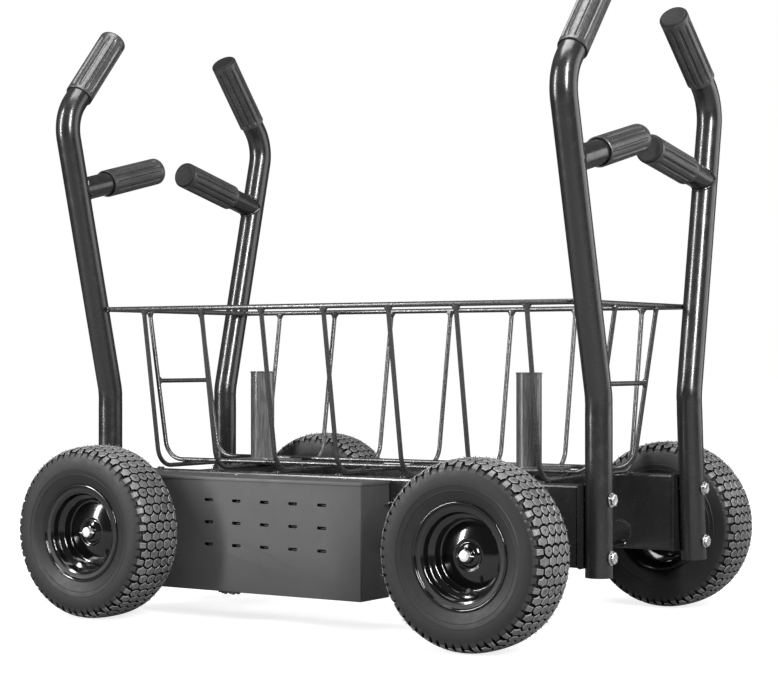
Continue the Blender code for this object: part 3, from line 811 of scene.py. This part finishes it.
def upright_mesh(apex, top):
    bm = bmesh.new()
    path = upright_path(apex, top)
    inside = path[0] + UP * 0.09
    rings = [ring(bm, start, UP, X_AXIS, TUBE_RADIUS - TUBE_WALL, 48) for start in (inside, path[0])]
    for index, point in enumerate(path):
        rings.append(ring(bm, point, tangent_at(path, index, False), X_AXIS,
                          TUBE_RADIUS * crease(point.z), 48))
    skin(bm, rings)
    stub = even_run(MID_ROOT, MID_ROOT + MID_DIRECTION * (MID_GRIP_START + TUBE_IN_GRIP), 0.03)
    sweep(bm, stub, STUB_RADIUS, 48, X_AXIS)
    bead(bm, stub_seam(0.0236), 0.0027, MID_DIRECTION, 23, closed=True)
    return mesh_from(bm, "upright", FRAME_PAINT)


def flute_depth(angle):
    """How deep a groove is at this angle, 0 on a rib and 1 along a groove's middle."""
    place = abs((angle * GRIP_RIBS / (2 * math.pi)) % 1.0 - 0.5) * 2
    share = min(1.0, max(0.0, (place - 0.56) / 0.26))
    return share * share * (3 - 2 * share)


def grip_mesh():
    """A fluted rubber sleeve, closed at its top and open at z = 0."""
    bm = bmesh.new()
    sides = GRIP_RIBS * 12
    bore = TUBE_RADIUS + 0.0003
    stations = [(0.0, bore, 0.0), (-0.0006, GRIP_RADIUS - 0.0012, 0.0), (0.0004, GRIP_RADIUS, 0.0),
                (0.0060, GRIP_RADIUS, 0.0), (0.0085, GRIP_RADIUS, 0.5), (0.0110, GRIP_RADIUS, 1.0)]
    for step in range(1, 8):
        stations.append((0.0110 + 0.0165 * step, GRIP_RADIUS, 1.0))
    stations += [(0.1430, GRIP_RADIUS, 0.9), (0.1465, GRIP_RADIUS, 0.35), (0.1490, GRIP_RADIUS, 0.0)]
    for step in range(7):
        angle = math.pi / 2 * step / 6
        stations.append((GRIP_LENGTH - 0.006 + 0.006 * math.sin(angle),
                         GRIP_RADIUS - 0.006 * (1 - math.cos(angle)), 0.0))
    stations += [(GRIP_LENGTH - 0.0005, 0.0200, 0.0), (GRIP_LENGTH - 0.0007, 0.0100, 0.0),
                 (GRIP_LENGTH - 0.0007, 0.0020, 0.0)]
    rings = [ring(bm, Vector((0, 0, 0.020)), UP, Y_AXIS, bore, sides)]
    for height, radius, groove in stations:
        rings.append(ring(bm, Vector((0, 0, height)), UP, Y_AXIS, radius, sides,
                          lambda angle: 1.0 - GROOVE_DEPTH * groove * flute_depth(angle)))
    skin(bm, rings)
    nub = Matrix.Translation((0, GRIP_RADIUS - 0.0004, 0.0075)) @ Matrix.Rotation(-math.pi / 2, 4, "X")
    lathe(bm, [(0.0024, -0.001), (0.0024, 0.0006), (0.0016, 0.0014), (0.0004, 0.0017)], 14, nub)
    # The cap end takes the darker rubber: painted shade.
    for face in bm.faces:
        if face.calc_center_median().z > GRIP_LENGTH - 0.004:
            face.material_index = 1
    return mesh_from(bm, "grip", GRIP, GRIP_CAP_SHADE, sharp=40)


def build_uprights():
    grip = grip_mesh()
    for corner, (_, left) in CORNERS.items():
        tube_low, tube_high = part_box("upright_" + corner)
        x = (tube_low.x + tube_high.x) / 2
        facing = Matrix.Rotation(0 if left > 0 else math.pi, 4, "Z")
        stand = tilt_of(corner, x) @ Matrix.Translation((x, 0, 0)) @ facing
        apex, top = top_bend(corner)
        add_piece("bent_tube_" + corner, upright_mesh(apex, top), place=stand,
                  replaces=["upright_" + corner])
        for level, root, direction, start in (("top", apex, top, TOP_GRIP_START),
                                              ("mid", MID_ROOT, MID_DIRECTION, MID_GRIP_START)):
            node = "%s_grip_%s" % (level, corner)
            turn = direction.to_track_quat("Z", "X").to_matrix().to_4x4()
            reach = start + GRIP_SHIFT.get(node, 0.0)
            place = stand @ Matrix.Translation(root + direction * reach) @ turn
            add_piece("%s_sleeve_%s" % (level, corner), grip, place=place, replaces=[node])


# Basket

RIM_LOW, RIM_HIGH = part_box("basket_rim")
RIM_HEIGHT = (RIM_LOW.z + RIM_HIGH.z) / 2
RIM_HALF_LENGTH = RIM_HIGH.x - RIM_ROD_RADIUS
RIM_HALF_WIDTH = RIM_HIGH.y - RIM_ROD_RADIUS
WIRE_TOP = RIM_HEIGHT - 0.0063
LOOP_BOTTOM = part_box("basket_loop_1")[0].z + WIRE_RADIUS
LOOP_HALF_BOTTOM = 0.180
RUNNER_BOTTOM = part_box("basket_runner_left")[0].z + WIRE_RADIUS
RUNNER_HALF_BOTTOM = 0.482
RUNNER_SKEW = 0.0155 / RIM_HALF_LENGTH


def weld_web(bm, top, bottom, along, seed):
    """The fillet under the rim rod at a wire's top: wide along the rod, narrow down the wire."""
    noise = random.Random(seed)
    down = (bottom - top).normalized()
    rings = []
    for share, wide, thick in ((0.0, 0.0085, 0.0052), (0.22, 0.0088, 0.0050), (0.45, 0.0066, 0.0047),
                               (0.7, 0.0050, 0.0045), (1.0, 0.0040, 0.0040)):
        rings.append(ring(bm, top.lerp(bottom, share), down, along, 1.0, 14,
                          lambda angle: math.hypot(wide * math.sin(angle), thick * math.cos(angle))
                          * noise.uniform(0.95, 1.06)))
    skin(bm, rings)


def wire_path(half_top, half_bottom, bottom, place):
    """A U-shaped wire's bent line; place turns (distance along, height) into a point."""
    turns = ((-half_top, WIRE_TOP), (-half_bottom, bottom), (half_bottom, bottom), (half_top, WIRE_TOP))
    return rounded_path([place(along, height) for along, height in turns], WIRE_BEND, 12)


def wire_piece(name, node, path, across, welds):
    """A bent wire with a weld web at each end, riding with the chassis."""
    bm = bmesh.new()
    sweep(bm, path, WIRE_RADIUS, 20, across)
    for index, (end, inner) in enumerate(((path[0], path[1]), (path[-1], path[-2]))):
        direction = (inner - end).normalized()
        weld_web(bm, end + UP * 0.004, end + direction * 0.0095, across, welds + index)
    return add_piece(name, mesh_from(bm, name, WIRE_PAINT), replaces=[node])


def build_basket():
    corners = [Vector((front * RIM_HALF_LENGTH, left * RIM_HALF_WIDTH, RIM_HEIGHT))
               for front, left in ((0, -1), (1, -1), (1, 1), (-1, 1), (-1, -1))]
    path = rounded_path(corners + corners[:1], RIM_CORNER, 8)[:-1]
    bm = bmesh.new()
    sweep(bm, path, RIM_ROD_RADIUS, 24, UP, closed=True)
    for front, left in CORNERS.values():
        corner = Vector((front * (RIM_HALF_LENGTH + 0.001), left * (RIM_HALF_WIDTH - 0.001), RIM_HEIGHT))
        for lift in (-1, 1):
            blob(bm, corner + UP * 0.0025 * lift, Y_AXIS, 0.012, 0.0065, 40 + lift)
    add_piece("rim_rod", mesh_from(bm, "rim_rod", WIRE_PAINT), replaces=["basket_rim"])

    loop_nodes = sorted(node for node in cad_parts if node.startswith("basket_loop_"))
    crossings = bmesh.new()
    runner_y = [node_middle("basket_runner_" + side).y for side in SIDES]
    for index, node in enumerate(loop_nodes):
        x = node_middle(node).x
        path = wire_path(RIM_HALF_WIDTH, LOOP_HALF_BOTTOM, LOOP_BOTTOM,
                         lambda along, height: Vector((x, along, height)))
        wire_piece("cross_wire_%d" % (index + 1), node, path, X_AXIS, 60 + 2 * index)
        for y in (side_y + RUNNER_SKEW * x for side_y in runner_y):
            blob(crossings, Vector((x, y, (LOOP_BOTTOM + RUNNER_BOTTOM) / 2)), Vector((1, 1, 0)),
                 0.013, 0.0085, 100 + index)
        for left in SIDES.values():
            for offset in (-1, 1):
                blob(crossings, Vector((x + offset * 0.004, left * (RAIL_INNER + 0.006), RAIL_TOP + 0.001)),
                     Y_AXIS, 0.012, 0.005, 120 + index)
    for index, (side, y) in enumerate(zip(SIDES, runner_y)):
        path = wire_path(RIM_HALF_LENGTH, RUNNER_HALF_BOTTOM, RUNNER_BOTTOM,
                         lambda along, height: Vector((along, y + RUNNER_SKEW * along, height)))
        wire_piece("long_wire_" + side, "basket_runner_" + side, path, Y_AXIS, 90 + 2 * index)
    for name in ENDS:
        node = "basket_end_bar_" + name
        centre = node_middle(node)
        reach = runner_y[0] - 0.002
        ends = [centre + Vector((0, side * reach, 0)) for side in (-1, 1)]
        bm = bmesh.new()
        sweep(bm, even_run(ends[0], ends[1], 0.03), WIRE_RADIUS, 20, UP)
        for end, side in zip(ends, (-1, 1)):
            for lift in (-1, 1):
                blob(bm, end - Vector((0, side * 0.003, lift * 0.0035)), UP, 0.010, 0.0085, 140 + lift)
        add_piece("end_wire_" + name, mesh_from(bm, "end_wire", WIRE_PAINT), replaces=[node])
    add_piece("wire_crossing_welds", mesh_from(crossings, "wire_crossing_welds", WIRE_PAINT))


# Posts in the basket

POST_PLATE = 0.005


def build_posts():
    for name in ENDS:
        node = "post_" + name
        low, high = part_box(node)
        middle = (low + high) / 2
        plate = bmesh.new()
        plate_middle = Vector((middle.x, middle.y, low.z + POST_PLATE / 2))
        plate_size = Vector((high.x - low.x, high.y - low.y, POST_PLATE))
        bmesh.ops.create_cube(plate, size=1.0, matrix=Matrix.LocRotScale(plate_middle, None, plate_size))
        upright_edges = [edge for edge in plate.edges
                         if abs(edge.verts[0].co.z - edge.verts[1].co.z) > 0.004]
        bmesh.ops.bevel(plate, geom=upright_edges, offset=0.008, segments=5, affect="EDGES", profile=0.5)
        base = low.z + POST_PLATE
        axis = Matrix.Translation((middle.x, middle.y, 0))
        tube = [(TUBE_RADIUS, base - 0.001), (TUBE_RADIUS, high.z - 0.0032),
                (TUBE_RADIUS - 0.0006, high.z - 0.0026)]
        lathe(plate, tube, 56, axis)
        cap = [(TUBE_RADIUS - 0.002, high.z - 0.0030), (TUBE_RADIUS + 0.0009, high.z - 0.0028),
               (TUBE_RADIUS + 0.0013, high.z - 0.0018), (TUBE_RADIUS + 0.0008, high.z - 0.0006),
               (TUBE_RADIUS - 0.0020, high.z), (0.004, high.z + 0.0002)]
        lathe(plate, cap, 56, axis)
        seam = [Vector((middle.x + TUBE_RADIUS * math.cos(angle), middle.y + TUBE_RADIUS * math.sin(angle),
                        base)) for angle in angles(60)]
        bead(plate, seam, 0.0030, UP, 51, closed=True)
        add_piece("stake_" + name, mesh_from(plate, "stake", POST_GRAIN_AND_HIGHLIGHTS), replaces=[node])


# Vented box

VENT_COLUMNS = 5
VENT_ROWS = 3
VENT_FIRST = (-0.211, 0.145)
VENT_PITCH = (0.0655, 0.042)
VENT_HALF = (0.0105, 0.003)
VENT_SIDES = 24
SHEET = 0.0015
LID_SCREWS_X = (-0.201, 0.053)
STUD_X, STUD_HEIGHT = 0.148, 0.2325


def slot_cutter(bm, x, z, front_y, half_length, half_height):
    """A round-ended slot through the front sheet."""
    shift = half_length - half_height
    rings = []
    for y in (front_y - 0.004, front_y + 0.004):
        points = []
        for step in range(VENT_SIDES):
            angle = 2 * math.pi * (step + 0.5) / VENT_SIDES
            aside = half_height * math.cos(angle) + math.copysign(shift, math.cos(angle))
            points.append(bm.verts.new((x + aside, y, z + half_height * math.sin(angle))))
        rings.append(points)
    skin(bm, rings)


def open_box(low, high, open_side):
    bm = bmesh.new()
    bmesh.ops.create_cube(bm, size=1.0, matrix=Matrix.LocRotScale((low + high) / 2, None, high - low))
    opened = [face for face in bm.faces if face.normal.dot(open_side) > 0.9]
    bmesh.ops.delete(bm, geom=opened, context="FACES_ONLY")
    return bm


def build_box():
    low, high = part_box("box_body")
    slots, tongues = bmesh.new(), bmesh.new()
    for column in range(VENT_COLUMNS):
        for row in range(VENT_ROWS):
            x = VENT_FIRST[0] + column * VENT_PITCH[0]
            z = VENT_FIRST[1] + row * VENT_PITCH[1]
            slot_cutter(slots, x, z, low.y, *VENT_HALF)
            flap = Matrix.LocRotScale(Vector((x + 0.0045, low.y + 0.0030, z - 0.0018)),
                                      Quaternion((1, 0, 0), math.radians(-38)),
                                      Vector((0.0100, 0.0050, 0.0008)))
            bmesh.ops.create_cube(tongues, size=1.0, matrix=flap)
    axle = bmesh.new()
    sleeve = node_middle("axle_tube_rear")
    across = Matrix.Translation((sleeve.x, low.y, sleeve.z)) @ Matrix.Rotation(math.pi / 2, 4, "X")
    lathe(axle, [(0.0204, -0.25), (0.0204, 0.25)], 48, across)
    shell = with_modifiers(open_box(low, high, UP), "box_shell", BOX_PAINT, cutters=(slots, axle),
                           bevel=0.0020, wall=SHEET)
    add_piece("vented_box", shell, replaces=["box_body"])
    add_piece("vent_tongues", mesh_from(tongues, "vent_tongues", BOX_PAINT))

    low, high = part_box("box_lid")
    lid = with_modifiers(open_box(low, high, -UP), "lid_shell", BOX_PAINT, bevel=0.0016, wall=SHEET)
    add_piece("box_cover", lid, replaces=["box_lid"])
    screws = bmesh.new()
    head = [(0.0036, -0.001), (0.0038, 0.0004), (0.0033, 0.0012), (0.0021, 0.0017), (0.0018, 0.0014),
            (0.0015, 0.0007), (0.0005, 0.0005)]
    for x in LID_SCREWS_X:
        lathe(screws, head, 24, Matrix.Translation((x, high.y - 0.022, high.z)))
    add_piece("lid_screws", mesh_from(screws, "lid_screws", ZINC))

    stud = bmesh.new()
    root = Vector((STUD_X, -RAIL_OUTER, STUD_HEIGHT))
    sweep(stud, even_run(root + Vector((0, 0.001, 0)), root - Vector((0.003, 0.024, 0.001)), 0.005),
          0.0019, 14, UP)
    add_piece("rail_stud", mesh_from(stud, "rail_stud", ZINC))
    seam_weld = bmesh.new()
    body_low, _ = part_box("box_body")
    for index in range(8):
        spot = Vector((-0.192 + 0.006 * index, body_low.y + 0.012,
                       body_low.z - 0.0008 - 0.0012 * (index % 3)))
        blob(seam_weld, spot, X_AXIS, 0.010, 0.0066, 200 + index)
    add_piece("box_seam_weld", mesh_from(seam_weld, "box_seam_weld", BOX_PAINT))


# Studio

def add_area_light(name, place, target, size, power):
    light = bpy.data.lights.new(name, "AREA")
    light.shape = "RECTANGLE"
    light.size, light.size_y = size
    light.energy = power
    obj = new_object(name, light)
    obj.location = place
    obj.rotation_euler = (Vector(target) - Vector(place)).to_track_quat("-Z", "Y").to_euler()


def shown_and_cast(tree, shown, cast, output):
    """The camera sees one shader, and the object is lit by the other."""
    path = tree.nodes.new("ShaderNodeLightPath")
    mix = tree.nodes.new("ShaderNodeMixShader")
    tree.links.new(path.outputs["Is Camera Ray"], mix.inputs["Fac"])
    tree.links.new(cast.outputs[0], mix.inputs[1])
    tree.links.new(shown.outputs[0], mix.inputs[2])
    tree.links.new(mix.outputs[0], output.inputs["Surface"])


def build_world():
    world = bpy.data.worlds.new("studio")
    world.use_nodes = True
    tree = world.node_tree
    cast = tree.nodes["Background"]
    cast.inputs["Strength"].default_value = 0.13
    cast.inputs["Color"].default_value = (1, 1, 1, 1)
    shown = tree.nodes.new("ShaderNodeBackground")
    shown.inputs["Color"].default_value = (1, 1, 1, 1)
    shown_and_cast(tree, shown, cast, tree.nodes["World Output"])
    return world


def floor_material():
    material = bpy.data.materials.new("floor")
    material.use_nodes = True
    tree = material.node_tree
    tree.nodes.remove(tree.nodes["Principled BSDF"])
    cast = tree.nodes.new("ShaderNodeBsdfDiffuse")
    cast.inputs["Color"].default_value = (0.25, 0.25, 0.25, 1)
    pale = tree.nodes.new("ShaderNodeBsdfDiffuse")
    pale.inputs["Color"].default_value = (0.30, 0.30, 0.30, 1)
    glow = tree.nodes.new("ShaderNodeEmission")
    place = tree.nodes.new("ShaderNodeTexCoord")
    spread = tree.nodes.new("ShaderNodeMapping")
    spread.inputs["Scale"].default_value = (0.3, 0.3, 0.3)
    pool = tree.nodes.new("ShaderNodeTexGradient")
    pool.gradient_type = "SPHERICAL"
    strength = tree.nodes.new("ShaderNodeMapRange")
    strength.inputs["To Min"].default_value = 1.0
    strength.inputs["To Max"].default_value = 0.78
    tree.links.new(place.outputs["Object"], spread.inputs["Vector"])
    tree.links.new(spread.outputs["Vector"], pool.inputs["Vector"])
    tree.links.new(pool.outputs["Fac"], strength.inputs["Value"])
    tree.links.new(strength.outputs["Result"], glow.inputs["Strength"])
    shown = tree.nodes.new("ShaderNodeAddShader")
    tree.links.new(pale.outputs[0], shown.inputs[0])
    tree.links.new(glow.outputs[0], shown.inputs[1])
    shown_and_cast(tree, shown, cast, tree.nodes["Material Output"])
    return material


def build_studio():
    scene = bpy.context.scene
    scene.view_settings.view_transform = "Standard"
    scene.world = build_world()
    middle = (0, 0, 0.7)
    add_area_light("strip_left", (-2.0, -2.75, 1.65), middle, (0.36, 2.6), 180)
    add_area_light("strip_right", (2.72, -2.05, 2.15), middle, (0.34, 1.8), 260)
    add_area_light("overhead", (0.2, -0.4, 3.4), middle, (2.2, 1.4), 110)
    add_area_light("side_panel", (3.1, 2.3, 1.3), middle, (3.0, 2.4), 60)

    bm = bmesh.new()
    bmesh.ops.create_grid(bm, x_segments=1, y_segments=1, size=40)
    floor = new_object("floor", mesh_from(bm, "floor", floor_material()))


def add_camera():
    data = bpy.data.cameras.new("camera")
    data.lens = CAMERA_LENS
    data.sensor_width = CAMERA_SENSOR
    data.clip_end = 200
    camera = new_object("camera", data)
    camera.location = CAMERA_PLACE
    camera.rotation_euler = (math.pi / 2 + CAMERA_PITCH, 0, CAMERA_YAW)
    bpy.context.scene.camera = camera


add_camera()
build_wheels()
build_axles()
build_chassis()
build_bolts()
build_uprights()
build_basket()
build_posts()
build_box()
build_studio()
